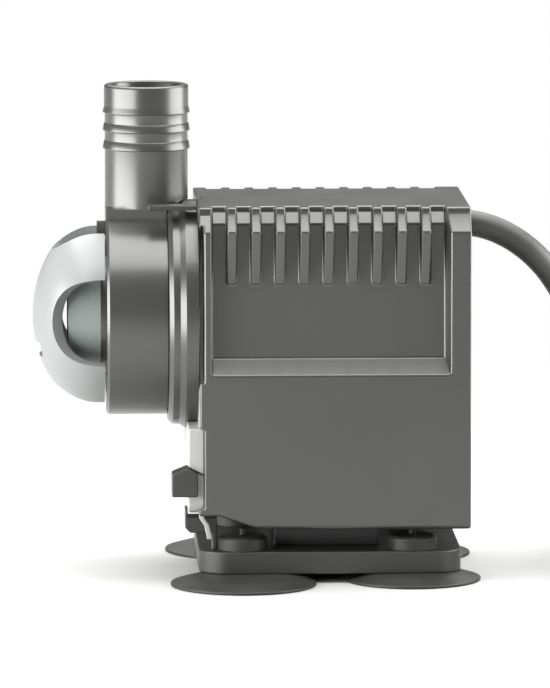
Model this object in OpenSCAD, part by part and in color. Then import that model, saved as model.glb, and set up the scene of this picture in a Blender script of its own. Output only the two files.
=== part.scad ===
// Small submersible circulation pump for a pond or an aquarium: a ribbed motor housing on a
// foot with four suction cups, a twist-lock pump head with a hose barb, and an intake dome
// that turns to throttle the flow.
// X runs along the rotor axis with the dome towards -X, Z is up, and the cups stand on z = 0.
// The origin lies midway between the dome's nose and the rims of the rear cups.

/* [Motor housing] */
// Length of the housing along the rotor axis
housing_l = 52.7; // [52:0.1:54]
// Width of the housing
housing_w = 46; // [46:0.2:47]
// Height of the housing's underside above the floor
housing_z = 10.7; // [10.6:0.1:11]
// Height of the housing's roof above the floor
roof_z = 74.5; // [74.5:0.1:75]
// Width of the sloping shoulder on each side of the roof
shoulder_w = 2.7; // [2.4:0.1:2.8]
// Height of the sloping shoulder
shoulder_h = 3.2; // [2.8:0.1:3.6]
// Radius of the long lower edges
sill_r = 1.2; // [1:0.1:2]
// Height of the rotor axis above the floor
axis_z = 51.3; // [51.2:0.05:51.4]

/* [Cooling recess] */
// Depth of the recess in each side
recess_d = 4; // [3.6:0.1:4.2]
// Number of ribs in each recess
rib_count = 9; // [5:1:9]
// Width of one groove between ribs
groove_w = 2.88; // [2.6:0.02:2.88]
// Width of one rib
rib_w = 1.91; // [1.6:0.01:1.91]

/* [Pump head] */
// Radius of the pump head's drum
head_r = 20.1; // [19.9:0.1:20.2]
// Length of the drum along the axis
head_l = 12; // [11.9:0.1:12.4]
// Radius of the hose barb
barb_r = 8.28; // [8:0.02:8.4]
// Radius of the barb's plain top end
barb_end_r = 8.42; // [8.2:0.02:8.6]
// Sideways offset of the outlet from the rotor axis
barb_y = 3.2; // [2.8:0.1:3.4]
// Radius of the outlet bore
outlet_r = 6.8; // [6:0.1:7]
// Height of the barb's mouth above the floor
barb_z = 97; // [94:0.5:100]
// Number of impeller blades
blade_count = 6; // [4:1:8]

/* [Flow regulator] */
// Outer radius of the intake dome
dome_r = 18.5; // [18:0.1:18.6]
// Length of the intake dome
dome_l = 14.2; // [14:0.1:14.4]
// Half height of an intake window at its open edge
window_r = 8.6; // [7.5:0.1:8.6]

/* [Foot] */
// Length of the foot plate
foot_l = 52.1; // [51:0.1:52.2]
// Width of the foot plate
foot_w = 43.8; // [43:0.2:44.4]
// Height of the foot plate's top above the floor
foot_z = 6.2; // [6:0.1:6.4]
// Radius of a front suction cup's rim
front_cup_r = 14.4; // [14:0.1:14.5]
// Radius of a rear suction cup's rim
rear_cup_r = 13.6; // [13.4:0.1:13.8]
// How far the front cups splay outwards
cup_splay = 6; // [0:0.5:6]
// Distance between the front and the rear cups
cup_pitch_x = 33.7; // [33:0.1:34]
// Distance between the near and the far cups
cup_pitch_y = 34; // [33.8:0.1:34.6]

/* [Supply cord] */
// Diameter of the supply cord
cord_d = 5.2; // [5:0.1:5.4]
// Radius of the coil at the middle of its turns
coil_r = 31; // [28:0.5:31]

/* [Hidden] */
$fn = 96;

// Stations along the rotor axis, from the housing's rear face forward to the dome's nose
cup_overhang = 2.3;
collar_seat = 0.9;
collar_l = 6.1;
dome_gap = 0.4;
overall_l = cup_overhang + housing_l + collar_seat + collar_l + head_l + dome_gap + dome_l;
x_rear = overall_l / 2 - cup_overhang;
x_front = x_rear - housing_l;
x_collar = x_front - collar_seat;
x_joint = x_collar - collar_l;
x_head = x_joint - head_l;
x_dome = x_head - dome_gap;
plate_t = 3.1;
x_plate = x_front - plate_t;

// Motor housing
half_w = housing_w / 2;
lid_h = 1.5;
hood_l = 1.05;
front_wall = 2.5;
rear_wall = 2.5;
cavity_z = 15.8;
mouth_r = 18.4;
cavity_roof_z = 72;
waist_z = 39.5;
low_half = 20.5;
high_half = 16.8;
recess_x = x_front + 1.65;
recess_l = (rib_count + 1) * groove_w + rib_count * rib_w;
recess_floor_z = 44.5;
recess_top_z = 71.15;
groove_y = 17;
recess_rise = 3;
recess_draft = 1.3;
exit_z = 69.4;
gland_r = 4;

// Rotor, shaft and can
shaft_r = 1.5;
run_gap = 0.06;
x_shaft = x_head + 1.7;
can_r = 10.9;
can_wall = 1;
x_can_end = x_front + 35.7;
magnet_r = 8.7;
x_magnet = x_front + 1.2;
magnet_l = 28.2;
bush_r = 3.2;

// Stator
x_core = x_front + 7.9;
core_l = 20;
leg_y = 10.2;
leg_w = 7;
yoke_z = 16.2;
yoke_h = 6.5;
pole_z = 39.7;
pole_top_z = 63;
pole_half = 16.4;
bobbin_z0 = yoke_z + yoke_h + 0.2;
bobbin_z1 = pole_z - 0.2;
bobbin_wall = 0.8;
flange_t = 0.8;
winding_t = 3.9;

// Pump head
volute_r = 16.8;
head_wall = 3;
spigot_r = 18.9;
spigot_l = 3.8;
lug_r = 20.3;
lug_half = 12;
barb_x = x_joint - 3.8;
block_z = 72.6;
collar_r = 22.1;
flange_r = 22.8;
collar_bore = 19.4;
inlet_r = 7.5;
sleeve_r = 10.5;

// Foot and cups
x_foot = x_front - 1;
foot_base_z = 1.8;
foot_corner = 6;
x_cup_rear = overall_l / 2 - rear_cup_r;
x_cup_front = x_cup_rear - cup_pitch_x;
cup_head_r = 4.9;
neck_r = 2.45;

// Supply cord: where it lies free, then the coil and the plug on top of it
coil_at = [105, 0];
tie_t = 0.8;
coil_z = tie_t + cord_d / 2;
layer_h = 0.97 * cord_d;
coil_top = coil_z + layer_h + cord_d / 2;
plug_h = 13.7;
plug_at = [117, 9.5, coil_top + plug_h / 2];
cord_sides = 10;
run_points = [
    [x_rear, 0, exit_z], [46.3, 0, 68.5], [50, 0, 67], [53.8, 0, 64.6], [57.2, 0, 61.5],
    [60.2, 0.6, 57.7], [62.7, 2.6, 53.3], [64.8, 5.8, 48.5], [66.6, 9.8, 43.4],
    [68.3, 14.2, 38.1], [70.1, 18.8, 32.7], [72.2, 23.4, 27.2], [74.8, 27.8, 21.8],
    [78, 31.8, 16.6], [82, 35.2, 11.8], [87, 37.6, 7.7], [92.8, 38.6, 4.9],
    [99, 38.8, 3.6], [105, 38.8, coil_z]
];
tail_points = [
    [68.8, 0, coil_z + layer_h], [69.6, 7, 8.9], [72, 13.6, 9.9], [75.4, 19.4, 11],
    [79.6, 24.4, 12.2], [84.6, 28.4, 13.4], [90.4, 30.8, 14.5], [96.6, 31.4, 15.4],
    [102.8, 30, 16.3], [108.4, 26.8, 17], [112.8, 22, 17.5], [115.8, 16, 17.8], plug_at
];

dark = "#5b5b57";
darker = "#464644";
pale = "#d8d9d4";
rubber = "#343432";

// ---- helpers ------------------------------------------------------------------------------

// Extrudes an outline drawn in (y, z) from x0 to x1
module along_x(x0, x1) {
    translate([x0, 0, 0]) rotate([90, 0, 90]) linear_extrude(x1 - x0) children();
}

// Extrudes an outline drawn in (x, z) from y0 to y1
module along_y(y0, y1) {
    translate([0, y1, 0]) rotate([90, 0, 0]) linear_extrude(y1 - y0) children();
}

// A disc on the rotor axis
module disc(r, x0, x1) {
    translate([x0, 0, axis_z]) rotate([0, 90, 0]) cylinder(r = r, h = x1 - x0);
}

// A cone on the rotor axis
module taper(r0, r1, x0, x1) {
    translate([x0, 0, axis_z]) rotate([0, 90, 0]) cylinder(r1 = r0, r2 = r1, h = x1 - x0);
}

// A ring on the rotor axis
module ring(r_out, r_in, x0, x1) {
    along_x(x0, x1) translate([0, axis_z]) difference() {
        circle(r_out);
        circle(r_in);
    }
}

// A wedge of a ring on the rotor axis, centred on the direction turned a degrees from +Z
module ring_wedge(r_out, r_in, half_angle, a, x0, x1) {
    along_x(x0, x1) translate([0, axis_z]) rotate(a + 90) intersection() {
        difference() {
            circle(r_out);
            circle(r_in);
        }
        polygon([[0, 0], 2 * r_out * [cos(half_angle), -sin(half_angle)],
                 2 * r_out * [cos(half_angle), sin(half_angle)]]);
    }
}

// A block given by its lowest and highest corners
module block(lo, hi) {
    translate(lo) cube(hi - lo);
}

// A rectangle with round corners, in the plane
module soft_rect(size, r) {
    translate([r, 0]) square([size[0] - 2 * r, size[1]]);
    translate([0, r]) square([size[0], size[1] - 2 * r]);
    for (x = [r, size[0] - r], y = [r, size[1] - r]) translate([x, y]) circle(r);
}

// The same shape on both sides of the housing
module both_sides() {
    children();
    mirror([0, 1, 0]) children();
}

// ---- motor --------------------------------------------------------------------------------

module housing_outline() {
    lid_half = half_w - shoulder_w;
    lid_draft = 0.3;
    shoulder_z = roof_z - lid_h - shoulder_h;
    polygon([
        [-half_w, housing_z + sill_r], [half_w, housing_z + sill_r], [half_w, shoulder_z],
        [lid_half, roof_z - lid_h], [lid_half - lid_draft, roof_z],
        [lid_draft - lid_half, roof_z], [-lid_half, roof_z - lid_h], [-half_w, shoulder_z]
    ]);
    translate([-half_w + sill_r, housing_z]) square([housing_w - 2 * sill_r, 2 * sill_r]);
    for (side = [-1, 1])
        translate([side * (half_w - sill_r), housing_z + sill_r]) circle(sill_r);
}

// The sunk panel in the far side: a sloping ledge below, a raked end, and a top that slopes
// inwards and runs out through the roof
module recess() {
    floor_y = half_w - recess_d;
    out_y = half_w + 1;
    slope = (recess_rise) / recess_d;
    intersection() {
        along_x(recess_x - 1, recess_x + recess_l + 3) polygon([
            [floor_y, recess_floor_z],
            [out_y, recess_floor_z - slope * (recess_d + 1)],
            [out_y, roof_z + 1.5],
            [groove_y, roof_z + 1.5],
            [groove_y + 0.1, roof_z - 1],
            [floor_y, recess_top_z]
        ]);
        translate([0, 0, housing_z]) linear_extrude(roof_z + 1 - housing_z) polygon([
            [recess_x, groove_y - 1],
            [recess_x, floor_y],
            [recess_x - 0.25, out_y],
            [recess_x + recess_l + recess_draft, out_y],
            [recess_x + recess_l, floor_y],
            [recess_x + recess_l, groove_y - 1]
        ]);
    }
}

// Ribs that carry the shoulder across the panel and die away downwards
module ribs() {
    floor_y = half_w - recess_d - 0.1;
    intersection() {
        for (i = [0 : rib_count - 1])
            translate([recess_x + groove_w + i * (groove_w + rib_w), 0, 0])
                along_x(0, rib_w) polygon([
                    [floor_y, 58.9], [floor_y + 0.7, 59.6], [floor_y + 2.5, 64.5],
                    [floor_y + 3.7, 69], [half_w, 70], [half_w, roof_z],
                    [groove_y - 0.1, roof_z], [groove_y - 0.1, roof_z - 1.1],
                    [floor_y, recess_top_z - 0.1]
                ]);
        along_x(x_front, x_rear) housing_outline();
    }
}

module cavity() {
    // The mouth that the front plate covers, then the space for the motor
    along_x(x_front - 1, x_front + front_wall + 0.1) {
        translate([0, axis_z]) circle(mouth_r);
        translate([-mouth_r, cavity_z]) square([2 * mouth_r, axis_z - cavity_z]);
    }
    block([x_front + front_wall, -low_half, cavity_z], [x_rear - rear_wall, low_half, waist_z]);
    block([x_front + front_wall, -high_half, waist_z - 0.1],
          [x_rear - rear_wall, high_half, cavity_roof_z]);
}

module housing() color(dark) {
    notch_z = 13.6;
    difference() {
        union() {
            difference() {
                along_x(x_front, x_rear) housing_outline();
                both_sides() recess();
            }
            both_sides() ribs();
            // Hood over the front plate, open where the collar passes
            intersection() {
                along_x(x_front - hood_l, x_front + 1) housing_outline();
                block([x_front - hood_l, -half_w, cavity_roof_z - 1],
                      [x_front + 1, half_w, roof_z]);
            }
            // Cheeks beside the plate below the collar, and lips beside its lower end
            both_sides() block([x_collar + 0.05, 19, 30.9], [x_front + 1, half_w, 40]);
            both_sides() block([x_front - hood_l, 21.3, notch_z], [x_front + 1, half_w, 14.9]);
        }
        cavity();
        disc(flange_r + 0.5, x_front - hood_l - 1, x_front);
        // Seat of the latch's round edge
        along_y(latch_y[0] - 0.1, latch_y[1] + 0.1) translate([latch_x, latch_z])
            circle(latch_r + 0.06);
        // Notch that the hook of the foot reaches through
        along_y(-half_w - 1, half_w + 1) polygon([
            [x_front - 2, housing_z - 1], [x_front - 2, notch_z], [x_front + 2.9, notch_z],
            [x_front + 12.5, housing_z - 0.3], [x_front + 12.5, housing_z - 1]
        ]);
        // Tunnel and exit for the cord
        translate([x_can_end - 4, 0, exit_z]) rotate([0, 90, 0]) {
            cylinder(r = gland_r, h = 30);
            cylinder(r = gland_r + 0.2, h = x_rear - rear_wall - x_can_end + 4);
        }
    }
}

module front_plate() color(pale) {
    plate_half = 21;
    plate_top = 30.8;
    corner = 2;
    bottom = 13.8;
    difference() {
        union() {
            along_x(x_collar, x_front) {
                translate([0, axis_z]) circle(19.2);
                translate([-18.9, bottom + corner]) square([37.8, axis_z - bottom - corner]);
            }
            along_x(x_plate, x_front) {
                translate([-plate_half, bottom + corner])
                    square([2 * plate_half, plate_top - bottom - corner]);
                translate([corner - plate_half, bottom])
                    square([2 * (plate_half - corner), 2 * corner]);
                for (side = [-1, 1])
                    translate([side * (plate_half - corner), bottom + corner]) circle(corner);
            }
            // Peg that slants down behind the hook of the foot
            along_y(-20.4, -18.8) polygon([
                [x_front - 1, 14.5], [x_front, 14.5], [x_front, 13], [x_front + 1, 11.6],
                [x_front + 1.7, 8.6], [x_front + 0.6, 8.6], [x_front, 11.4],
                [x_front - 1, 12.9]
            ]);
        }
        disc(flange_r + 0.1, x_plate - 1, x_collar);
        disc(13.05, x_plate - 1, x_front + 1);
    }
}

module head_collar() color(dark) {
    lip_x = x_joint + 0.2;
    undercut_x = x_joint + 2.4;
    floor_x = x_collar - 2;
    difference() {
        union() {
            taper(collar_r - 0.9, collar_r, lip_x, lip_x + 0.9);
            disc(collar_r, lip_x + 0.9, undercut_x + 0.1);
            taper(collar_r, flange_r, undercut_x, undercut_x + 1.2);
            disc(flange_r, undercut_x + 1.2, x_collar);
        }
        disc(collar_bore, lip_x - 1, floor_x);
        disc(lug_r + 0.5, undercut_x, floor_x);
        disc(can_r - can_wall, floor_x - 1, x_collar + 1);
        // Gaps in the lip where the lugs of the head go in
        for (i = [0 : 2])
            ring_wedge(lug_r + 0.8, 10, lug_half + 2.5, i * 120 - 30, lip_x - 1, undercut_x + 0.7);
    }
}

module rotor_can() color(pale) {
    difference() {
        union() {
            disc(can_r, x_collar, x_can_end);
            disc(13, x_collar, x_front);
        }
        disc(can_r - can_wall, x_collar - 1, x_can_end - 1.2);
    }
    ring(bush_r + 1.2, bush_r, x_can_end - 4.4, x_can_end - 1.1);
}

module stator_yoke() color("#8a8d90") {
    block([x_core, -leg_y - leg_w / 2, yoke_z], [x_core + core_l, leg_y + leg_w / 2,
                                                 yoke_z + yoke_h]);
}

module stator_poles() color("#8a8d90") {
    both_sides() difference() {
        union() {
            block([x_core, leg_y - leg_w / 2, yoke_z + yoke_h],
                  [x_core + core_l, leg_y + leg_w / 2, pole_z + 1]);
            block([x_core, 3, pole_z], [x_core + core_l, pole_half, pole_top_z]);
        }
        disc(can_r + 0.3, x_core - 1, x_core + core_l + 1);
    }
}

// A rectangular sleeve round one leg of the core
module leg_sleeve(inner, outer, z0, z1) {
    difference() {
        block([x_core - outer, leg_y - leg_w / 2 - outer, z0],
              [x_core + core_l + outer, leg_y + leg_w / 2 + outer, z1]);
        block([x_core - inner, leg_y - leg_w / 2 - inner, z0 - 1],
              [x_core + core_l + inner, leg_y + leg_w / 2 + inner, z1 + 1]);
    }
}

module coil_bobbins() color("#b9b4a0") {
    gap = 0.15;
    both_sides() {
        leg_sleeve(gap, gap + bobbin_wall, bobbin_z0, bobbin_z1);
        for (z = [bobbin_z0, bobbin_z1 - flange_t])
            leg_sleeve(gap, gap + bobbin_wall + winding_t + 0.3, z, z + flange_t);
    }
}

module coil_windings() color("#a8562a") {
    inner = 0.15 + bobbin_wall;
    both_sides() leg_sleeve(inner, inner + winding_t, bobbin_z0 + flange_t, bobbin_z1 - flange_t);
}

// Resin that fills the rear of the housing, clear of the cord's tunnel
module potting_block() color("#2c2b2a") {
    difference() {
        union() {
            block([x_can_end + 1.4, -low_half, cavity_z], [x_rear - rear_wall, low_half, waist_z]);
            block([x_can_end + 1.4, -high_half, waist_z],
                  [x_rear - rear_wall, high_half, cavity_roof_z]);
        }
        translate([x_can_end, 0, exit_z]) rotate([0, 90, 0]) cylinder(r = gland_r + 0.2, h = 30);
    }
}

// A round wire through a list of points, with a slightly larger ball at each bend
module wire(points, r) {
    for (i = [0 : len(points) - 2]) {
        d = points[i + 1] - points[i];
        translate(points[i]) rotate([0, acos(d[2] / norm(d)), atan2(d[1], d[0])])
            cylinder(r = r, h = norm(d), $fn = 24);
        if (i > 0) translate(points[i]) sphere(1.1 * r, $fn = 24);
    }
}

wire_x = x_can_end - 5.2;
wire_y = 13.6;
sheath_x = x_can_end - 3.6;
cutout_z = [46, 56];

// One wire from the cord's sheath down the near side to a height
module lead(z_end) {
    wire([[sheath_x, -1.2, exit_z], [sheath_x - 1, -1.2, exit_z], [wire_x, -wire_y, 63.6],
          [wire_x, -wire_y, z_end]], 0.7);
}

module live_wire() color("#7a4a2a") {
    lead(cutout_z[1]);
    wire([[wire_x, -wire_y, cutout_z[0]], [wire_x, -wire_y, bobbin_z1]], 0.7);
}

module neutral_wire() color("#3b5f9a") {
    mirror([0, 1, 0]) lead(bobbin_z1);
}

module thermal_cutout() color("#c9c4b8") {
    translate([wire_x, -wire_y, cutout_z[0]]) cylinder(r = 2.2, h = cutout_z[1] - cutout_z[0]);
}

module cord_end() color(rubber) {
    translate([sheath_x, 0, exit_z]) rotate([0, 90, 0])
        cylinder(r = cord_d / 2, h = x_rear - sheath_x);
}

// Tapered rubber sleeve that grips the cord, flush with the rear face
module cable_gland() color(rubber) {
    gland_l = x_rear - sheath_x - 1;
    translate([sheath_x + 1, 0, exit_z]) rotate([0, 90, 0]) rotate_extrude() polygon([
        [cord_d / 2, 0], [3.1, 0], [gland_r, gland_l - rear_wall], [gland_r, gland_l],
        [cord_d / 2, gland_l]
    ]);
}

// ---- rotor --------------------------------------------------------------------------------

module rear_bush() color("#3a3a3a") {
    difference() {
        disc(bush_r, x_can_end - 4.6, x_can_end - 1.2);
        disc(shaft_r, x_can_end - 5, x_can_end - 2.2);
    }
}

module ceramic_shaft() color("#f0efe9") {
    disc(shaft_r, x_shaft, x_can_end - 2.2);
}

module rotor_magnet() color("#2b2b2d") {
    ring(magnet_r, 3, x_magnet, x_magnet + magnet_l);
}

dog_x = x_magnet - 4.5;
dog_half = 30;

module rotor_sleeve() color("#e6e4dc") {
    bore = shaft_r + run_gap;
    ring(3, bore, x_magnet, x_magnet + magnet_l);
    ring(magnet_r - 0.1, bore, x_magnet - 1.2, x_magnet);
    ring(magnet_r - 0.1, bore, x_magnet + magnet_l, x_magnet + magnet_l + 1);
    ring_wedge(7, 3.9, dog_half, 0, dog_x, x_magnet - 1.2);
}

module impeller() color("#e6e4dc") {
    bore = shaft_r + run_gap;
    hub_x = x_head + 3.5;
    disc_x = x_joint - 1.9;
    ring(3.6, bore, hub_x, x_magnet - 1.5);
    ring(14.5, 3.5, disc_x, disc_x + 1);
    ring_wedge(7, 3.5, dog_half, 180, dog_x, x_magnet - 1.5);
    for (i = [0 : blade_count - 1])
        translate([0, 0, axis_z]) rotate([i * 360 / blade_count, 0, 0])
            block([hub_x + 0.3, -0.6, 3.3], [disc_x + 0.1, 0.6, 14.5]);
}

// ---- pump head ----------------------------------------------------------------------------

// Outline of the barb in (radius, height): three teeth that flare downwards, then the plain end
barb_profile = [
    [0, block_z - 2], [barb_r, block_z - 2], [barb_r, 84.2], [8.7, 84.4], [8.4, 85.8],
    [barb_r, 86], [barb_r, 87.8], [8.7, 88], [8.4, 89.3], [barb_r, 89.5], [barb_r, 91.4],
    [8.7, 91.6], [barb_end_r, 92.7], [barb_end_r, barb_z - 0.4], [barb_end_r - 0.4, barb_z],
    [0, barb_z]
];

module pump_head() color(dark) {
    bore_floor_z = 76.2;
    difference() {
        union() {
            taper(head_r - 0.5, head_r, x_head, x_head + 0.5);
            disc(head_r, x_head + 0.5, x_joint);
            block([x_head, barb_y - barb_r, axis_z], [x_joint, barb_y + barb_r, block_z]);
            ring(sleeve_r + 1.1, sleeve_r + 0.1, x_head - 1.2, x_head + 0.1);
            // Barb, cut back where it overhangs the collar
            difference() {
                translate([barb_x, barb_y, 0]) rotate_extrude() polygon(barb_profile);
                disc(flange_r + 0.15, x_joint, x_collar + 0.5);
            }
            disc(spigot_r, x_joint - 0.1, x_joint + spigot_l);
            for (i = [0 : 2])
                ring_wedge(lug_r, spigot_r - 0.5, lug_half, i * 120, x_joint + 2.6,
                           x_joint + spigot_l);
        }
        disc(volute_r, x_head + head_wall, x_joint + spigot_l + 1);
        disc(inlet_r, x_head - 1, x_head + head_wall + 1);
        ring(spigot_r + 1, 17.6, x_joint + 0.4, x_joint + 2.2);
        // Outlet: a duct out of the volute, then the round bore
        block([x_head + 2.4, barb_y - outlet_r, axis_z + 12],
              [x_joint - 1.7, barb_y + outlet_r, bore_floor_z + 0.1]);
        translate([barb_x, barb_y, bore_floor_z]) cylinder(r = outlet_r, h = 30);
    }
    // Spider that holds the front bush in the inlet
    ring(3.3, 2.3, x_head + 0.8, x_head + head_wall);
    disc(3.3, x_head, x_head + 0.9);
    for (i = [0 : 2])
        ring_wedge(inlet_r + 0.3, 3.2, 9, i * 120 + 60, x_head, x_head + head_wall);
    // Stop that stands in the dome's upper window
    block([x_head - 1.8, -1.6, 67.2], [x_head + 1, 1.6, 69.8]);
}

module head_seal() color(rubber) {
    translate([x_joint + 1.3, 0, axis_z]) rotate([0, 90, 0])
        rotate_extrude() translate([18.4, 0]) circle(0.8, $fn = 32);
}

module front_bush() color("#3a3a3a") {
    ring(2.3, shaft_r + run_gap, x_head + 1.5, x_head + head_wall);
    disc(2.3, x_head + 0.9, x_head + 1.6);
}

module inlet_sleeve() color("#98a09e") {
    ring(sleeve_r, sleeve_r - 1.2, x_head - 7.7, x_head);
}

// ---- flow regulator -----------------------------------------------------------------------

// Outline of a dome in (radius, depth): a short straight skirt and a quarter ellipse
function dome_outline(r, depth, skirt) =
    concat([[0, 0], [r, 0]], [for (a = [0 : 6 : 90]) [r * cos(a), skirt + (depth - skirt) * sin(a)]]);

// Half an ellipse that opens at the dome's rear edge
module window_outline() {
    polygon([for (a = [90 : 7.5 : 270]) [x_dome + 10.3 * cos(a), axis_z + window_r * sin(a)]]);
    translate([x_dome - 0.1, axis_z - window_r]) square([2, 2 * window_r]);
}

module flow_regulator() color(pale) {
    wall = 2.4;
    difference() {
        translate([x_dome, 0, axis_z]) rotate([0, -90, 0]) rotate_extrude() difference() {
            polygon(dome_outline(dome_r, dome_l, 1.2));
            polygon(dome_outline(dome_r - wall, dome_l - wall, 1.2));
        }
        along_y(-30, 30) window_outline();
        translate([0, 0, axis_z]) rotate([90, 0, 0]) translate([0, 0, -axis_z])
            along_y(-30, 30) window_outline();
        block([x_dome - dome_l - 1, -8, axis_z - 8.2], [x_dome - dome_l + 2.1, 8, axis_z - 4.8]);
    }
}

// ---- small outer parts ---------------------------------------------------------------------

latch_z = 73.6;
latch_r = 0.5;
latch_l = 9.4;
latch_x = x_front - hood_l - 0.25;
latch_y = [-11.6, -7.6];

// Springy tongue beside the barb, with a round edge at its rear that it flexes about
module head_latch() color(darker) along_y(latch_y[0], latch_y[1]) {
    translate([latch_x, latch_z]) circle(latch_r);
    translate([latch_x - latch_l, latch_z - latch_r]) square([latch_l, 2 * latch_r]);
}

// Side of the catch from its front edge to x, with a top that slopes both ways from a peak
module catch_side(x, end_z) {
    front = x_plate - 3.3;
    polygon([[front, 17.3], [x, 17.3], [x, end_z], [front + 3, 23.1], [front, 21.9]]);
}

// Sliding catch in front of the plate, with a lip round the plate's edge
module foot_catch() color(darker) {
    along_y(-21.2, -16.9) catch_side(x_plate - 0.05, 23);
    along_y(-22.4, -21.1) catch_side(x_plate + 1.8, 22);
}

module foot_plate() color(dark) {
    difference() {
        union() {
            translate([x_foot, -foot_w / 2, foot_base_z]) linear_extrude(foot_z - foot_base_z)
                soft_rect([foot_l, foot_w], foot_corner);
            // Boss and two rails that carry the housing
            translate([x_foot + foot_l / 2, 0, foot_base_z])
                cylinder(r = 3.6, h = foot_z + 1.1 - foot_base_z);
            for (side = [-1, 1])
                block([x_cup_front + 6.5, side * 10.5 - 1.5, foot_z - 1],
                      [x_cup_rear - 6.5, side * 10.5 + 1.5, housing_z]);
            // Hook that grips the lower edge of the front plate
            along_y(-17.6, -12.4) polygon([
                [x_front + 1.6, foot_z - 1], [x_front + 2.6, foot_z - 1], [x_front + 2.6, 12.7],
                [x_plate - 0.05, 12.7], [x_plate - 0.05, 14.4], [x_plate - 0.6, 14.4],
                [x_plate - 0.6, 10.5], [x_plate + 0.4, 9.5], [x_front + 1.6, 9.5]
            ]);
        }
        for (x = [x_cup_front, x_cup_rear], side = [-1, 1])
            translate([x, side * cup_pitch_y / 2, 0]) cylinder(r = neck_r + 0.05, h = 10);
    }
}

// Rubber cup with a neck through the foot plate, a button on top and a skirt that may splay
module suction_cup(x, y, r, splay) color(rubber) {
    translate([x, y, 0]) rotate_extrude() polygon([
        [0, 1.4], [neck_r, 1.4], [neck_r, foot_z], [cup_head_r, foot_z],
        [cup_head_r, foot_z + 2.3], [cup_head_r - 0.5, foot_z + 2.8], [0.7, foot_z + 2.8],
        [0.7, foot_z + 4.2], [0, foot_z + 4.2]
    ]);
    translate([x, y + splay, 0]) rotate_extrude() polygon([
        [0, 1.3], [5, 1.2], [10, 0.7], [r - 0.7, 0], [r, 0], [r, 0.5], [r - 3.5, 1.5],
        [9, foot_base_z], [0, foot_base_z]
    ]);
}

module cup_front_near() suction_cup(x_cup_front, -cup_pitch_y / 2, front_cup_r, -cup_splay);
module cup_front_far() suction_cup(x_cup_front, cup_pitch_y / 2, front_cup_r, cup_splay);
module cup_rear_near() suction_cup(x_cup_rear, -cup_pitch_y / 2, rear_cup_r, 0);
module cup_rear_far() suction_cup(x_cup_rear, cup_pitch_y / 2, rear_cup_r, 0);

// ---- supply cord --------------------------------------------------------------------------

function unit(v) = v / norm(v);

// Direction of a route at point i
function heading(p, i) =
    unit(p[min(i + 1, len(p) - 1)] - p[max(i - 1, 0)]);

// One ring of the tube, square to the route, its first side kept level
function tube_ring(p, i, r) =
    let (t = heading(p, i), side = unit(cross(t, [0, 0, 1])), up = cross(side, t))
    [for (k = [0 : cord_sides - 1])
        p[i] + r * (side * cos(k * 360 / cord_sides) + up * sin(k * 360 / cord_sides))];

module tube(p, r) {
    n = len(p);
    m = cord_sides;
    polyhedron(
        points = [for (i = [0 : n - 1]) each tube_ring(p, i, r)],
        faces = concat(
            [[for (k = [0 : m - 1]) k]],
            [for (i = [0 : n - 2], k = [0 : m - 1])
                each let (a = i * m + k, b = i * m + (k + 1) % m)
                    [[a, a + m, b + m], [a, b + m, b]]],
            [[for (k = [m - 1 : -1 : 0]) (n - 1) * m + k]]
        )
    );
}

module cord_run() color(rubber) {
    tube(run_points, cord_d / 2);
}

module cord_coil() color(rubber) {
    r_in = coil_r - 2 * cord_d;
    r_out = coil_r + 2 * cord_d;
    translate([coil_at[0], coil_at[1], 0]) rotate_extrude() polygon([
        [r_in, tie_t], [r_out, tie_t], [r_out, tie_t + cord_d],
        [r_out - cord_d / 2, coil_top], [r_in + cord_d / 2, coil_top], [r_in, tie_t + cord_d]
    ]);
}

module cord_tail() color(rubber) {
    tube(tail_points, cord_d / 2);
}

// Flat strap round the bundle
module cord_tie() color("#222220") {
    r_in = coil_r - 2 * cord_d - 0.1;
    r_out = coil_r + 2 * cord_d + 0.1;
    translate([coil_at[0], coil_at[1], 0]) rotate([0, 0, 215]) along_y(-3.5, 3.5) difference() {
        translate([r_in - tie_t, 0]) square([r_out - r_in + 2 * tie_t, coil_top + tie_t + 0.1]);
        translate([r_in, tie_t]) square([r_out - r_in, coil_top - tie_t + 0.1]);
    }
}

relief_l = 14;
plug_l = 32;
plug_half = 17.6;
pin_y = 9.3;

// The plug lies on the coil with its pins towards -Y
module on_plug() {
    translate(plug_at) rotate([0, 0, -90]) children();
}

module plug_body() color(rubber) on_plug() {
    translate([0, 0, -plug_h / 2]) linear_extrude(plug_h) polygon([
        [relief_l, -6], [relief_l + 14, -13], [relief_l + 22, -plug_half],
        [relief_l + plug_l - 3, -plug_half], [relief_l + plug_l, -14],
        [relief_l + plug_l, 14], [relief_l + plug_l - 3, plug_half],
        [relief_l + 22, plug_half], [relief_l + 14, 13], [relief_l, 6]
    ]);
    rotate([0, 90, 0]) cylinder(r1 = cord_d / 2 + 0.8, r2 = 5, h = relief_l + 0.5);
    for (side = [-1, 1])
        translate([relief_l + plug_l - 1, side * pin_y, 0]) rotate([0, 90, 0])
            cylinder(r = 1.9, h = 11);
}

module plug_pins() color("#c8c4b4") on_plug() {
    for (side = [-1, 1])
        translate([relief_l + plug_l + 10, side * pin_y, 0]) rotate([0, 90, 0]) {
            cylinder(r = 2, h = 8);
            translate([0, 0, 8]) cylinder(r1 = 2, r2 = 1.2, h = 1);
        }
}

housing();
front_plate();
head_collar();
rotor_can();
stator_yoke();
stator_poles();
coil_bobbins();
coil_windings();
potting_block();
thermal_cutout();
live_wire();
neutral_wire();
cord_end();
cable_gland();
rear_bush();
ceramic_shaft();
rotor_magnet();
rotor_sleeve();
impeller();
pump_head();
head_seal();
front_bush();
inlet_sleeve();
flow_regulator();
head_latch();
foot_catch();
foot_plate();
cup_front_near();
cup_front_far();
cup_rear_near();
cup_rear_far();
cord_run();
cord_coil();
cord_tail();
cord_tie();
plug_body();
plug_pins();
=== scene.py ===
"""Looks of a small submersible pump and its mains lead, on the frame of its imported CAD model."""

import math

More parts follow.
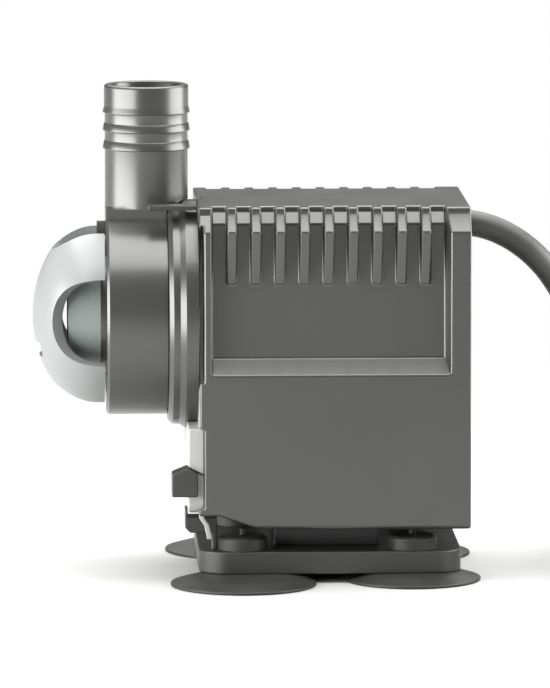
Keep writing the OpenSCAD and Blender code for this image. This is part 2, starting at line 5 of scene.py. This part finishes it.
import bmesh
import bpy
from mathutils import Matrix, Vector


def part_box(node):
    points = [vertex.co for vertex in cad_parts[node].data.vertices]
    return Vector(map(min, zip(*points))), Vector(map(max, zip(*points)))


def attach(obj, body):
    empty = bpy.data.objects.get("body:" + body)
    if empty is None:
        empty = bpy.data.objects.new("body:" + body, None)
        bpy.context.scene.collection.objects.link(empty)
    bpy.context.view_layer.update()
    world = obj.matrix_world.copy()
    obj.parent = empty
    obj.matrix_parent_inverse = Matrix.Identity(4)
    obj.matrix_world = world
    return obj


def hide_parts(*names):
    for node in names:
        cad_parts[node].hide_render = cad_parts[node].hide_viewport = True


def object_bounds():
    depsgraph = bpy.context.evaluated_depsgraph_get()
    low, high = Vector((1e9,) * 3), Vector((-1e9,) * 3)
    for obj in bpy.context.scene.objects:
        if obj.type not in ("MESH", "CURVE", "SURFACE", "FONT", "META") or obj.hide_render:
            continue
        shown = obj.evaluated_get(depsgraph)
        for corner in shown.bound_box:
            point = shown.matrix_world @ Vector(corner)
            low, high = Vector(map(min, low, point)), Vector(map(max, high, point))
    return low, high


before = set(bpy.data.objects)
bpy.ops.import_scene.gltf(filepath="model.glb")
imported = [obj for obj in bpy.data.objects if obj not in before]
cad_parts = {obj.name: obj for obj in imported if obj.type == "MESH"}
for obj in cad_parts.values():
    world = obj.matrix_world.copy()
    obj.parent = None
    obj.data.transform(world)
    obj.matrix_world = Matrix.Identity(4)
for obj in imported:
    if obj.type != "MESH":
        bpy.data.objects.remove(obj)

cad_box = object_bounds()

# ---- places, from the frame -----------------------------------------------------------------

MM = 0.001
shaft_lo, shaft_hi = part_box("ceramic_shaft")
dome_lo, dome_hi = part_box("flow_regulator")
coil_lo, coil_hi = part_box("cord_coil")
axis_z = (shaft_lo.z + shaft_hi.z) / 2
barb_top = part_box("pump_head")[1].z
collar_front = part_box("head_collar")[0].x
floor_z = cad_box[0].z

# ---- camera ---------------------------------------------------------------------------------

LONG_SIDE = 36.0  # of the sensor, in millimetres
DISTANCE = 1.5
SEEN = 0.1376  # height of the picture at the pump's middle, in metres
ELEVATION = math.radians(7.05)
YAW = math.radians(2.2)
target = Vector((0.0041, 0, 0.045))

camera = bpy.data.objects.new("camera", bpy.data.cameras.new("camera"))
level = math.cos(ELEVATION)
back = Vector((-math.sin(YAW) * level, -math.cos(YAW) * level, math.sin(ELEVATION)))
camera.location = target + DISTANCE * back
camera.rotation_euler = (-back).to_track_quat("-Z", "Y").to_euler()
camera.data.sensor_width = LONG_SIDE
camera.data.lens = LONG_SIDE * DISTANCE / SEEN
camera.data.clip_start = 0.01
bpy.context.scene.collection.objects.link(camera)
bpy.context.scene.camera = camera

# ---- materials ------------------------------------------------------------------------------


def srgb(r, g, b):
    """A colour given as 0 to 255 in sRGB, as linear numbers with alpha."""
    linear = [c / 255 / 12.92 if c <= 10 else ((c / 255 + 0.055) / 1.055) ** 2.4 for c in (r, g, b)]
    return (*linear, 1.0)


class Finish:
    """A node material: a Principled shader, with colour, roughness and bump from procedural noise."""

    def __init__(self, name, colour, roughness, metallic=0.0, specular=0.5):
        self.material = bpy.data.materials.new(name)
        self.material.use_nodes = True
        self.tree = self.material.node_tree
        self.shader = self.tree.nodes["Principled BSDF"]
        self.colour = colour
        self.roughness = roughness
        self.shader.inputs["Base Color"].default_value = colour
        self.shader.inputs["Roughness"].default_value = roughness
        self.shader.inputs["Metallic"].default_value = metallic
        self.shader.inputs["Specular IOR Level"].default_value = specular
        self.place = self.tree.nodes.new("ShaderNodeTexCoord").outputs["Object"]
        self.bump = None

    def node(self, kind, **values):
        """A node of that kind. Names of its inputs set them, and other names set its properties."""
        n = self.tree.nodes.new(kind)
        for key, value in values.items():
            if key in n.inputs:
                n.inputs[key].default_value = value
            else:
                setattr(n, key, value)
        return n

    def link(self, source, target_socket):
        self.tree.links.new(source, target_socket)

    def stretched(self, scale):
        """Object coordinates scaled by three numbers."""
        mapping = self.node("ShaderNodeMapping")
        mapping.inputs["Scale"].default_value = scale
        self.link(self.place, mapping.inputs["Vector"])
        return mapping.outputs["Vector"]

    def noise(self, scale, detail=3.0, vector=None):
        """Noise with that many features a metre."""
        n = self.node("ShaderNodeTexNoise", Scale=scale, Detail=detail)
        self.link(vector or self.place, n.inputs["Vector"])
        return n.outputs["Fac"]

    def ranged(self, source, low, high, start=0.3, end=0.7):
        n = self.node("ShaderNodeMapRange")
        for name, value in (("From Min", start), ("From Max", end), ("To Min", low), ("To Max", high)):
            n.inputs[name].default_value = value
        self.link(source, n.inputs["Value"])
        return n.outputs["Result"]

    def mixed(self, fac, a, b):
        """Colour a where fac is 0 and b where it is 1. Each is a colour or a socket."""
        n = self.node("ShaderNodeMix", data_type="RGBA")
        self.link(fac, n.inputs["Factor"])
        for value, key in ((a, "A"), (b, "B")):
            socket = next(s for s in n.inputs if s.name == key and s.type == "RGBA")
            if isinstance(value, tuple):
                socket.default_value = value
            else:
                self.link(value, socket)
        return next(s for s in n.outputs if s.type == "RGBA")

    def tone(self, share):
        """The base colour times share."""
        return (*[min(1.0, c * share) for c in self.colour[:3]], 1.0)

    def clouds(self, scale, spread, detail=4.0):
        """Varies the colour by spread either way."""
        fac = self.ranged(self.noise(scale, detail), 0, 1)
        colour = self.mixed(fac, self.tone(1 - spread), self.tone(1 + spread))
        self.link(colour, self.shader.inputs["Base Color"])
        return self

    def sheen_marks(self, scale, spread):
        """Varies the roughness by spread either way."""
        fac = self.ranged(self.noise(scale), self.roughness - spread, self.roughness + spread)
        self.link(fac, self.shader.inputs["Roughness"])
        return self

    def relief(self, height_source, strength, distance):
        """Adds a bump of that height in metres under the bumps made before."""
        n = self.node("ShaderNodeBump", Strength=strength, Distance=distance)
        self.link(height_source, n.inputs["Height"])
        if self.bump:
            self.link(self.bump, n.inputs["Normal"])
        self.bump = n.outputs["Normal"]
        self.link(self.bump, self.shader.inputs["Normal"])
        return self


def moulded(name, colour, roughness, grain=0.25, specular=0.5):
    """Injection-moulded plastic: fine grain, faint flow clouds and small changes of sheen."""
    f = Finish(name, colour, roughness, specular=specular)
    f.clouds(55, 0.05)
    f.sheen_marks(140, 0.025)
    f.relief(f.noise(2600, 2), grain, 0.00001)
    return f


def rubbery(name, colour, roughness):
    """Soft rubber: matt, with a dusty bloom and a fine tooth."""
    f = Finish(name, colour, roughness, specular=0.4)
    bloom = f.ranged(f.noise(90, 5), 0, 1, 0.45, 0.75)
    f.link(f.mixed(bloom, f.tone(0.9), f.tone(1.35)), f.shader.inputs["Base Color"])
    f.sheen_marks(240, 0.07)
    f.relief(f.noise(1900, 3), 0.5, 0.00004)
    f.relief(f.noise(230, 2), 0.35, 0.0001)
    return f


def metal(name, colour, roughness, brushed=(1, 1, 1)):
    f = Finish(name, colour, roughness, metallic=1.0)
    f.clouds(120, 0.06)
    f.sheen_marks(300, 0.06)
    f.relief(f.noise(900, 2, f.stretched(brushed)), 0.2, 0.00002)
    return f


def striped(name, colour, roughness, axis, pitch, depth, metallic=0.0):
    """A finish with fine lines a pitch apart along one axis, such as laminations or turns of wire."""
    f = Finish(name, colour, roughness, metallic=metallic)
    wave = f.node("ShaderNodeTexWave", wave_type="BANDS", bands_direction=axis, wave_profile="SIN")
    wave.inputs["Scale"].default_value = math.pi / 10 / pitch  # one band for each pitch
    wave.inputs["Distortion"].default_value = 0.4
    f.link(f.place, wave.inputs["Vector"])
    lines = f.ranged(wave.outputs["Fac"], 0, 1, 0, 0.6)
    f.link(f.mixed(lines, f.tone(0.45), f.tone(1.1)), f.shader.inputs["Base Color"])
    f.sheen_marks(200, 0.06)
    f.relief(lines, 0.6, depth)
    return f


dark_plastic = moulded("dark_plastic", srgb(51, 51, 49), 0.3, specular=1.0)
black_plastic = moulded("black_plastic", srgb(44, 44, 43), 0.42, specular=0.6)
pale_plastic = moulded("pale_plastic", srgb(125, 127, 126), 0.34, grain=0.15)
plate_plastic = moulded("plate_plastic", srgb(168, 169, 165), 0.4, grain=0.15)
sleeve_plastic = moulded("sleeve_plastic", srgb(136, 144, 141), 0.45)
cup_rubber = rubbery("cup_rubber", srgb(40, 40, 38), 0.5)
seal_rubber = rubbery("seal_rubber", srgb(40, 40, 40), 0.55)
sheath = rubbery("cord_sheath", srgb(66, 66, 65), 0.45)
plug_plastic = rubbery("plug_plastic", srgb(50, 50, 50), 0.42)
white_plastic = moulded("white_plastic", srgb(226, 224, 216), 0.4, grain=0.15)
bobbin_plastic = moulded("bobbin_plastic", srgb(186, 180, 158), 0.45)
cutout_case = moulded("cutout_case", srgb(202, 197, 186), 0.35)
brown_wire = moulded("brown_wire", srgb(112, 66, 40), 0.4)
blue_wire = moulded("blue_wire", srgb(58, 92, 150), 0.4)
ceramic = moulded("ceramic", srgb(238, 236, 228), 0.18, grain=0.05)
graphite = moulded("graphite", srgb(58, 58, 60), 0.5)
resin = moulded("resin", srgb(44, 42, 42), 0.22, grain=0.08)
ferrite = metal("ferrite", srgb(52, 52, 56), 0.45)
plug_metal = metal("plug_metal", srgb(206, 200, 184), 0.22, brushed=(1, 8, 1))
core_steel = striped("core_steel", srgb(150, 152, 154), 0.38, "X", 0.0005, 0.00008, metallic=1.0)
copper = striped("copper", srgb(186, 98, 54), 0.3, "Z", 0.0003, 0.0001, metallic=1.0)
strap_cloth = striped("strap_cloth", srgb(38, 38, 38), 0.8, "X", 0.0008, 0.0002)

# ---- building blocks ------------------------------------------------------------------------


def placed(name, mesh, finish, body, nodes, smooth=35):
    """Makes a piece of a mesh that rides on a body and replaces its nodes.

    Its shading is smooth but for edges sharper than smooth degrees.
    """
    obj = bpy.data.objects.new(name, mesh)
    bpy.context.scene.collection.objects.link(obj)
    mesh.materials.clear()
    mesh.materials.append(finish.material)
    mesh.shade_smooth()
    mesh.set_sharp_from_angle(angle=math.radians(smooth))
    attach(obj, body)
    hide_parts(*nodes)
    return obj


def round_edges(obj, width, segments, angle, clamp, miter):
    """Rounds edges sharper than angle degrees, width millimetres wide, and shades the broad faces flat."""
    bevel = obj.modifiers.new("edges", "BEVEL")
    bevel.width = width * MM
    bevel.segments = segments
    bevel.limit_method = "ANGLE"
    bevel.angle_limit = math.radians(angle)
    bevel.use_clamp_overlap = clamp
    bevel.miter_outer = miter
    weighted = obj.modifiers.new("normals", "WEIGHTED_NORMAL")
    weighted.weight = 80
    weighted.keep_sharp = True


WELD = 0.002 * MM  # points of a CAD mesh closer than this become one
FLAT = math.radians(0.6)  # faces that meet at less than this become one


def rounded(
    name, node, finish, body, width, segments=3, angle=32, cut_z=None, clamp=False, merge=True,
):
    """A copy of a CAD node with its hard edges rounded, cut off flat at height cut_z if one is given.

    merge joins the triangles of flat faces, which spoils faces with a round hole in them.
    """
    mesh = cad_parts[node].data.copy()
    bm = bmesh.new()
    bm.from_mesh(mesh)
    bmesh.ops.remove_doubles(bm, verts=bm.verts, dist=WELD)
    if cut_z:
        cut = bmesh.ops.bisect_plane(
            bm, geom=bm.verts[:] + bm.edges[:] + bm.faces[:], plane_co=(0, 0, cut_z), plane_no=(0, 0, 1),
            clear_outer=True,
        )
        rim = [e for e in cut["geom_cut"] if isinstance(e, bmesh.types.BMEdge)]
        bmesh.ops.bridge_loops(bm, edges=rim)
        bmesh.ops.recalc_face_normals(bm, faces=bm.faces)
    if merge:
        bmesh.ops.dissolve_limit(bm, angle_limit=FLAT, verts=bm.verts, edges=bm.edges)
    bm.to_mesh(mesh)
    bm.free()
    obj = placed(name, mesh, finish, body, [node], smooth=angle)
    round_edges(obj, width, segments, angle, clamp, "MITER_ARC")
    return obj


def mesh_of(bm, name):
    """A mesh of what the bmesh holds. The bmesh is freed."""
    mesh = bpy.data.meshes.new(name)
    bm.to_mesh(mesh)
    bm.free()
    return mesh


def turned(name, profile, centre, axis, side, steps, nudge=None):
    """A closed mesh of a profile turned about an axis, from the direction side onwards.

    profile holds (radius, distance along axis) pairs round a closed outline, and one of no radius is
    a pole. nudge moves a point of the surface to its final place.
    """
    bm = bmesh.new()
    rings = []
    up = axis.cross(side)
    for r, d in profile:
        base = centre + axis * d
        if r == 0:
            rings.append([bm.verts.new(base)])
            continue
        around = [2 * math.pi * k / steps for k in range(steps)]
        ring = [base + r * (side * math.cos(a) + up * math.sin(a)) for a in around]
        rings.append([bm.verts.new(nudge(p) if nudge else p) for p in ring])
    for lower, upper in zip(rings, rings[1:] + rings[:1]):
        if len(lower) == len(upper) == 1:
            continue
        for k in range(steps):
            j = (k + 1) % steps
            if len(lower) == 1:
                bm.faces.new((lower[0], upper[k], upper[j]))
            elif len(upper) == 1:
                bm.faces.new((lower[k], lower[j], upper[0]))
            else:
                bm.faces.new((lower[k], lower[j], upper[j], upper[k]))
    bmesh.ops.recalc_face_normals(bm, faces=bm.faces)
    return mesh_of(bm, name)


def finished(node, finish):
    """A CAD node kept as it is, with a better material."""
    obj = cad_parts[node]
    obj.data.materials.clear()
    obj.data.materials.append(finish.material)


# ---- supply cord ----------------------------------------------------------------------------

CORD_D = 0.0052
coil_centre = Vector(((coil_lo.x + coil_hi.x) / 2, (coil_lo.y + coil_hi.y) / 2, 0))
LOW_Z = 0.0034
HIGH_Z = 0.008444
TURN_STEPS = 24
RISE_FROM, RISE_TURN = 250, 80  # degrees into a turn where a climb starts, and degrees it takes
CROSS_LOW, CROSS_HIGH, CROSS_CLIMB = 240, 270, 290  # degrees where the crossing to the next turn starts
TURNS = [  # radius and height of each turn of the coil, then of its three-quarter last turn
    (0.0388, LOW_Z), (0.0336, LOW_Z), (0.0284, LOW_Z), (0.0232, LOW_Z),
    (0.0258, HIGH_Z), (0.031, HIGH_Z), (0.0362, HIGH_Z),
]
RUN = [  # from the gland in the rear face down to the coil
    (0.042, 0, 0.0694), (0.0463, 0, 0.0685), (0.05, 0, 0.067), (0.0538, 0, 0.0646),
    (0.0572, 0.0003, 0.0615), (0.0602, 0.0014, 0.0577), (0.0627, 0.0033, 0.0533),
    (0.0648, 0.0062, 0.0485), (0.0666, 0.0098, 0.0434), (0.0683, 0.0142, 0.0381),
    (0.0701, 0.0188, 0.0327), (0.0722, 0.0234, 0.0272), (0.0748, 0.0278, 0.0218),
    (0.078, 0.0318, 0.0166), (0.082, 0.0352, 0.0118), (0.087, 0.0376, 0.0077),
    (0.0928, 0.0386, 0.0049), (0.099, 0.0388, 0.0036),
]
TAIL = [  # from the end of the coil over its turns to the plug
    (0.0696, 0.007, 0.0089), (0.072, 0.0136, 0.0099), (0.0754, 0.0194, 0.011),
    (0.0796, 0.0244, 0.0122), (0.0846, 0.0284, 0.0134), (0.0904, 0.0308, 0.0145),
    (0.0966, 0.0314, 0.0154), (0.1028, 0.03, 0.0163), (0.1084, 0.0268, 0.017),
    (0.1128, 0.022, 0.0175), (0.1158, 0.016, 0.0178), (0.117, 0.0095, 0.017894),
]


def eased(share):
    """0 to 1 with a soft start and end."""
    share = min(1.0, max(0.0, share))
    return share * share * (3 - 2 * share)


def coil_turns():
    """Points of the coil, clockwise from its far side. Each turn crosses to the next in its last third."""
    points = []
    for i, (radius, height) in enumerate(TURNS):
        last = i + 1 == len(TURNS)
        next_radius, next_height = TURNS[i] if last else TURNS[i + 1]
        climbs = next_height > height
        cross_from = CROSS_CLIMB if climbs else CROSS_LOW if height == LOW_Z else CROSS_HIGH
        for step in range(TURN_STEPS * 3 // 4 + 1 if last else TURN_STEPS):
            degrees = 360 * step / TURN_STEPS
            across = eased((degrees - cross_from) / (360 - cross_from))
            rise = eased((degrees - RISE_FROM) / RISE_TURN)
            r = radius + (next_radius - radius) * across
            a = math.radians(90 - degrees)
            z = height + (next_height - height) * rise
            points.append(coil_centre + Vector((r * math.cos(a), r * math.sin(a), z)))
    return points


def cord_curve(name, points, diameter):
    """A round cord through points, as one smooth spline."""
    curve = bpy.data.curves.new(name, "CURVE")
    curve.dimensions = "3D"
    curve.bevel_depth = diameter / 2
    curve.bevel_resolution = 5
    curve.resolution_u = 5
    curve.use_fill_caps = True
    spline = curve.splines.new("BEZIER")
    spline.bezier_points.add(len(points) - 1)
    for point, place in zip(spline.bezier_points, points):
        point.co = place
        point.handle_left_type = point.handle_right_type = "AUTO"
    obj = bpy.data.objects.new(name, curve)
    bpy.context.scene.collection.objects.link(obj)
    curve.materials.append(sheath.material)
    return obj


path = [Vector(p) for p in RUN] + coil_turns() + [Vector(p) for p in TAIL]
lead = cord_curve("mains_lead", path, CORD_D)
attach(lead, "motor")
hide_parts("cord_run", "cord_coil", "cord_tail")

plug = rounded("lead_plug", "plug_body", plug_plastic, "motor", 1.2, segments=4)
finished("plug_pins", plug_metal)
tie = rounded("lead_tie", "cord_tie", strap_cloth, "motor", 0.25)

# ---- motor housing --------------------------------------------------------------------------

rounded("housing_shell", "housing", dark_plastic, "motor", 0.35)
rounded(
    "clamp_collar", "head_collar", dark_plastic, "motor", 0.1,
    segments=2, angle=20, merge=False,
)
rounded("front_cover", "front_plate", plate_plastic, "motor", 0.25)

# ---- pump head ------------------------------------------------------------------------------

BARB_FOOT = 0.07262  # height where the barb leaves the head's casting
BARB_LAP = 0.0001  # how far the barb reaches down into the casting
BARB_R = 0.00828
BARB_END_R = 0.00842
BORE_R = 0.0068
TEETH = [(0.0842, 0.0858), (0.0878, 0.0893), (0.0914, 0.0927)]  # bottom and top of each tooth
OVER_COLLAR_R = 0.02295  # radius about the rotor axis of the barb's underside behind the head
BARB_AHEAD, BARB_ASIDE = 0.0038, 0.0032  # of the head's joint and of the rotor axis
joint_x = collar_front - 0.0002
barb_axis = Vector((joint_x - BARB_AHEAD, BARB_ASIDE, 0))


def barb_profile():
    """Radius and height of points up the outside of the barb, over its mouth and down its bore."""
    points = [(BORE_R, BARB_FOOT - BARB_LAP), (BARB_R, BARB_FOOT - BARB_LAP)]
    for bottom, top in TEETH:
        above = BARB_END_R if top == TEETH[-1][1] else 0.0083
        points += [
            (BARB_R, bottom - 0.0002), (0.00833, bottom - 0.00005), (0.0086, bottom),
            (0.0087, bottom + 0.00012), (0.00868, bottom + 0.0003), (0.00845, top - 0.0001),
            (above, top + 0.0001),
        ]
    return points + [
        (BARB_END_R, barb_top - 0.0006), (0.00836, barb_top - 0.00025), (0.0082, barb_top - 0.00006),
        (0.008, barb_top), (0.0072, barb_top), (0.00694, barb_top - 0.0001), (BORE_R, barb_top - 0.00035),
    ]


def over_collar(place):
    """Lifts the barb's underside clear of the collar behind the head."""
    if place.x > joint_x:
        place.z = max(place.z, axis_z + math.sqrt(OVER_COLLAR_R ** 2 - place.y ** 2))
    return place


rounded(
    "volute_head", "pump_head", dark_plastic, "head", 0.2, cut_z=BARB_FOOT, clamp=True,
)
barb_mesh = turned(
    "hose_barb", barb_profile(), barb_axis, Vector((0, 0, 1)), Vector((1, 0, 0)), 128, nudge=over_collar,
)
placed("hose_barb", barb_mesh, dark_plastic, "head", ["pump_head"])
rounded("inlet_tube", "inlet_sleeve", sleeve_plastic, "head", 0.25)

WINDOW_HALF = 0.0086  # half the width of a side window where the CAD dome is cut by it
END_WINDOW_HALF = 0.0076  # the same for the windows on top and below
WIDTH_AT = 0.0164  # distance from the rotor axis where a window has that width
FLARE = 16  # share of its width that a window gains for each metre further out
WINDOW_L = 0.0103  # length of a window at LEAN_FROM + LEAN_SPAN from the rotor axis
LEAN_FROM, LEAN_SPAN = 0.0049, 0.0081  # the length grows evenly outwards, from nothing at LEAN_FROM
CUT_FROM, CUT_TO = 0.009, 0.022  # distances from the rotor axis that the window's cutter spans
CUT_BEHIND = 0.003  # how far it reaches past the dome's rim
NOTCH = (0.0038, 0.013, 0.003)  # size of the cutter of the notch in the nose
NOTCH_DROP = 0.0065  # from the rotor axis down to it
DOME_R = math.hypot((dome_hi.z - dome_lo.z) / 2, WINDOW_HALF)
DOME_WALL = 0.0026
DOME_STEPS = 180
ARC_STEPS = 36
OVAL_STEPS = 48
SKIRT = 0.0012


def dome_arc(r, depth):
    """Radius and depth along a dome: a straight skirt, then a quarter of an ellipse to the nose."""
    return [(r, 0)] + [
        (r * math.cos(a), SKIRT + (depth - SKIRT) * math.sin(a))
        for a in (math.radians(90 * step / ARC_STEPS) for step in range(ARC_STEPS))
    ] + [(0, depth)]


def window_tool(half, turn):
    """Cutter of a window, turn degrees from the top: half an oval with its end leaning inwards."""
    bm = bmesh.new()
    loops = []
    for out in (CUT_FROM, CUT_TO):
        long = WINDOW_L * (out - LEAN_FROM) / LEAN_SPAN
        wide = half * (1 + (out - WIDTH_AT) * FLARE)
        outline = [(CUT_BEHIND, -wide)] + [
            (long * math.cos(a), wide * math.sin(a))
            for a in (math.radians(-90 - 180 * step / OVAL_STEPS) for step in range(OVAL_STEPS + 1))
        ] + [(CUT_BEHIND, wide)]
        loops.append([bm.verts.new((dome_hi.x + x, y, axis_z + out)) for x, y in outline])
    bm.faces.new(loops[0])
    bm.faces.new(loops[1])
    for k in range(len(loops[0])):
        j = (k + 1) % len(loops[0])
        bm.faces.new((loops[0][k], loops[0][j], loops[1][j], loops[1][k]))
    bmesh.ops.recalc_face_normals(bm, faces=bm.faces)
    matrix = Matrix.Rotation(math.radians(turn), 3, "X")
    bmesh.ops.rotate(bm, verts=bm.verts, cent=(0, 0, axis_z), matrix=matrix)
    return mesh_of(bm, "window_tool")


def notch_tool():
    """Cutter of the notch in the dome's nose."""
    bm = bmesh.new()
    bmesh.ops.create_cube(bm, size=1)
    bmesh.ops.scale(bm, vec=NOTCH, verts=bm.verts)
    bmesh.ops.translate(bm, vec=(dome_lo.x, 0, axis_z - NOTCH_DROP), verts=bm.verts)
    return mesh_of(bm, "notch_tool")


def carved(mesh, tools):
    """The mesh with each tool's solid taken away."""
    work = bpy.data.objects.new("carving", mesh)
    bpy.context.scene.collection.objects.link(work)
    helpers = []
    for tool in tools:
        cutter = bpy.data.objects.new("cutter", tool)
        bpy.context.scene.collection.objects.link(cutter)
        cut = work.modifiers.new("cut", "BOOLEAN")
        cut.operation = "DIFFERENCE"
        cut.solver = "EXACT"
        cut.object = cutter
        helpers.append(cutter)
    graph = bpy.context.evaluated_depsgraph_get()
    result = bpy.data.meshes.new_from_object(work.evaluated_get(graph))
    for obj in helpers + [work]:
        bpy.data.objects.remove(obj)
    return result


def dome_mesh():
    """The intake dome: a fine shell of even wall with four windows and a notch in its nose."""
    depth = dome_hi.x - dome_lo.x
    outer = dome_arc(DOME_R, depth)
    inner = dome_arc(DOME_R - DOME_WALL, depth - DOME_WALL)
    rim = Vector((dome_hi.x, 0, axis_z))
    shell = turned(
        "dome_shell", outer + inner[::-1], rim, Vector((-1, 0, 0)), Vector((0, 0, 1)), DOME_STEPS,
    )
    windows = [
        window_tool(END_WINDOW_HALF, 0), window_tool(WINDOW_HALF, 90),
        window_tool(END_WINDOW_HALF, 180), window_tool(WINDOW_HALF, 270),
    ]
    return carved(shell, windows + [notch_tool()])


dome = placed(
    "intake_dome", dome_mesh(), pale_plastic, "regulator", ["flow_regulator"], smooth=30,
)
round_edges(dome, 0.45, 3, 35, True, "MITER_SHARP")

# ---- small outer parts ----------------------------------------------------------------------

rounded("latch_tongue", "head_latch", black_plastic, "latch", 0.2)
rounded("catch_block", "foot_catch", black_plastic, "catch", 0.3)
rounded("foot_base", "foot_plate", black_plastic, "motor", 0.25)

for place in ("front_near", "front_far", "rear_near", "rear_far"):
    rounded("suction_" + place, "cup_" + place, cup_rubber, "motor", 0.15)

# ---- inside ---------------------------------------------------------------------------------

for node, finish in {
    "rotor_can": white_plastic, "stator_yoke": core_steel, "stator_poles": core_steel,
    "coil_bobbins": bobbin_plastic, "coil_windings": copper, "potting_block": resin,
    "thermal_cutout": cutout_case, "live_wire": brown_wire, "neutral_wire": blue_wire,
    "cord_end": sheath, "cable_gland": seal_rubber, "rear_bush": graphite,
    "ceramic_shaft": ceramic, "rotor_magnet": ferrite, "rotor_sleeve": white_plastic,
    "impeller": white_plastic, "head_seal": seal_rubber, "front_bush": graphite,
}.items():
    finished(node, finish)

# ---- floor and light ------------------------------------------------------------------------

FLOOR_HALF = 3.0
FLOOR_GAP = 0.00005  # between the suction cups' rims and the floor
floor_mesh = bpy.data.meshes.new("floor")
signs = [(-1, -1), (1, -1), (1, 1), (-1, 1)]
corners = [(x * FLOOR_HALF, y * FLOOR_HALF, floor_z - FLOOR_GAP) for x, y in signs]
floor_mesh.from_pydata(corners, [], [(0, 1, 2, 3)])
floor = bpy.data.objects.new("floor", floor_mesh)
bpy.context.scene.collection.objects.link(floor)
floor_finish = Finish("floor", srgb(174, 174, 173), 0.9, specular=0.1)
floor_finish.clouds(3, 0.005)
FADE_FROM, FADE_TO = 0.1, 0.35  # distances over which the floor turns into plain white
reach = floor_finish.node("ShaderNodeVectorMath", operation="LENGTH")
floor_finish.link(floor_finish.place, reach.inputs[0])
share = floor_finish.ranged(reach.outputs["Value"], 0, 1, FADE_FROM, FADE_TO)
glow = floor_finish.node("ShaderNodeEmission")
blend = floor_finish.node("ShaderNodeMixShader")
floor_finish.link(share, blend.inputs["Fac"])
floor_finish.link(floor_finish.shader.outputs["BSDF"], blend.inputs[1])
floor_finish.link(glow.outputs["Emission"], blend.inputs[2])
floor_finish.link(blend.outputs["Shader"], floor_finish.tree.nodes["Material Output"].inputs["Surface"])
floor_mesh.materials.append(floor_finish.material)

world = bpy.data.worlds.new("studio")
bpy.context.scene.world = world
world.use_nodes = True
sky = world.node_tree
dim_sky = sky.nodes["Background"]  # what lights the pump
seen_sky = sky.nodes.new("ShaderNodeBackground")  # what the camera sees
for background, strength in ((dim_sky, 0.15), (seen_sky, 1.0)):
    background.inputs["Color"].default_value = (1, 1, 1, 1)
    background.inputs["Strength"].default_value = strength
ray = sky.nodes.new("ShaderNodeLightPath")
choice = sky.nodes.new("ShaderNodeMixShader")
sky.links.new(ray.outputs["Is Camera Ray"], choice.inputs["Fac"])
sky.links.new(dim_sky.outputs["Background"], choice.inputs[1])
sky.links.new(seen_sky.outputs["Background"], choice.inputs[2])
sky.links.new(choice.outputs["Shader"], sky.nodes["World Output"].inputs["Surface"])


def softbox(name, place, aim, size, power):
    """A rectangular lamp at place that points at aim, both in metres."""
    lamp = bpy.data.lights.new(name, "AREA")
    lamp.shape = "RECTANGLE"
    lamp.size, lamp.size_y = size
    lamp.energy = power
    obj = bpy.data.objects.new(name, lamp)
    obj.location = place
    obj.rotation_euler = (Vector(aim) - Vector(place)).to_track_quat("-Z", "Y").to_euler()
    bpy.context.scene.collection.objects.link(obj)


softbox("top_scrim", (0, 0.4, 1.0), (0, 0.4, 0), (1.6, 1.96), 54)
softbox("left_box", (-0.24, -0.1, 0.075), (0, 0, 0.075), (0.33, 0.15), 1.5)
softbox("right_box", (0.3, 0.0, 0.13), (0, 0, 0.13), (0.3, 0.26), 1.9)

bpy.context.scene.view_settings.view_transform = "Standard"
